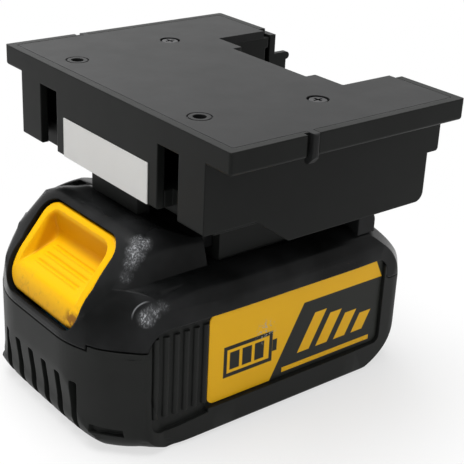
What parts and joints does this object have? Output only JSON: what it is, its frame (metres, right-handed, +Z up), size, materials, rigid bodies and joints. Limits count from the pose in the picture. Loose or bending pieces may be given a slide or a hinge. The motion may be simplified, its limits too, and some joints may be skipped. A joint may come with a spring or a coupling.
{
  "type": "battery adapter",
  "caption": "Flat plate battery adapter with clip-on cover and rear notch, docked on a slide-on battery pack that a spring latch releases.",
  "frame": {"origin": "on the floor below the middle of the whole, at the centre of the pack's base", "axes": "+Z up through the adapter plate, +X from the pack's release button to its contact end, +Y to the far side"},
  "size_m": [0.1188, 0.116, 0.0967],
  "materials": {
    "adapter_plastic": "moulded black plastic with a fine satin grain",
    "pack_plastic": "moulded black plastic, semi-gloss, scuffed on the edges",
    "terminal_plastic": "plain moulded insulating plastic",
    "button_plastic": "yellow moulded plastic, semi-gloss, a little soiled",
    "latch_plastic": "plain black plastic",
    "screw_steel": "dark plated steel",
    "contact_brass": "bright sheet brass",
    "strap_nickel": "nickel strip",
    "cell_steel": "steel cans in shrink sleeve",
    "spring_steel": "bright spring wire",
    "board_laminate": "green circuit board",
    "lead_red": "flexible insulation",
    "lead_black": "flexible insulation",
    "white_tape": "laminated white tape, bare",
    "printed_label": "film label, yellow and dark"
  },
  "bodies": {
    "adapter": {"adapter_housing": "adapter_plastic", "rail_carrier": "adapter_plastic", "top_cover": "adapter_plastic", "cover_screws": "screw_steel", "terminal_block": "terminal_plastic", "power_blades": "contact_brass", "signal_blades": "contact_brass", "output_block": "terminal_plastic", "output_tabs": "contact_brass", "positive_lead": "lead_red", "negative_lead": "lead_black", "tape_label": "white_tape"},
    "battery_pack": {"upper_case": "pack_plastic", "lower_case": "pack_plastic", "case_screws": "screw_steel", "label_near": "printed_label", "label_far": "printed_label", "cells": "cell_steel", "cell_holder_near": "terminal_plastic", "cell_holder_far": "terminal_plastic", "cell_straps": "strap_nickel", "control_board": "board_laminate", "power_clips": "contact_brass", "signal_clips": "contact_brass", "latch_spring": "spring_steel"},
    "release": {"release_button": "button_plastic", "latch_slide": "latch_plastic"}
  },
  "joints": [
    {"name": "pack_slide", "type": "slide", "parent": "adapter", "child": "battery_pack", "axis": [-1, 0, 0], "range_m": [0, 0.05]},
    {"name": "button_press", "type": "slide", "parent": "battery_pack", "child": "release", "axis": [0.8572, 0, -0.515], "range_m": [0, 0.0032], "stiffness_N_per_m": 800, "springref_m": -0.004, "deforming": ["latch_spring"]}
  ]
}
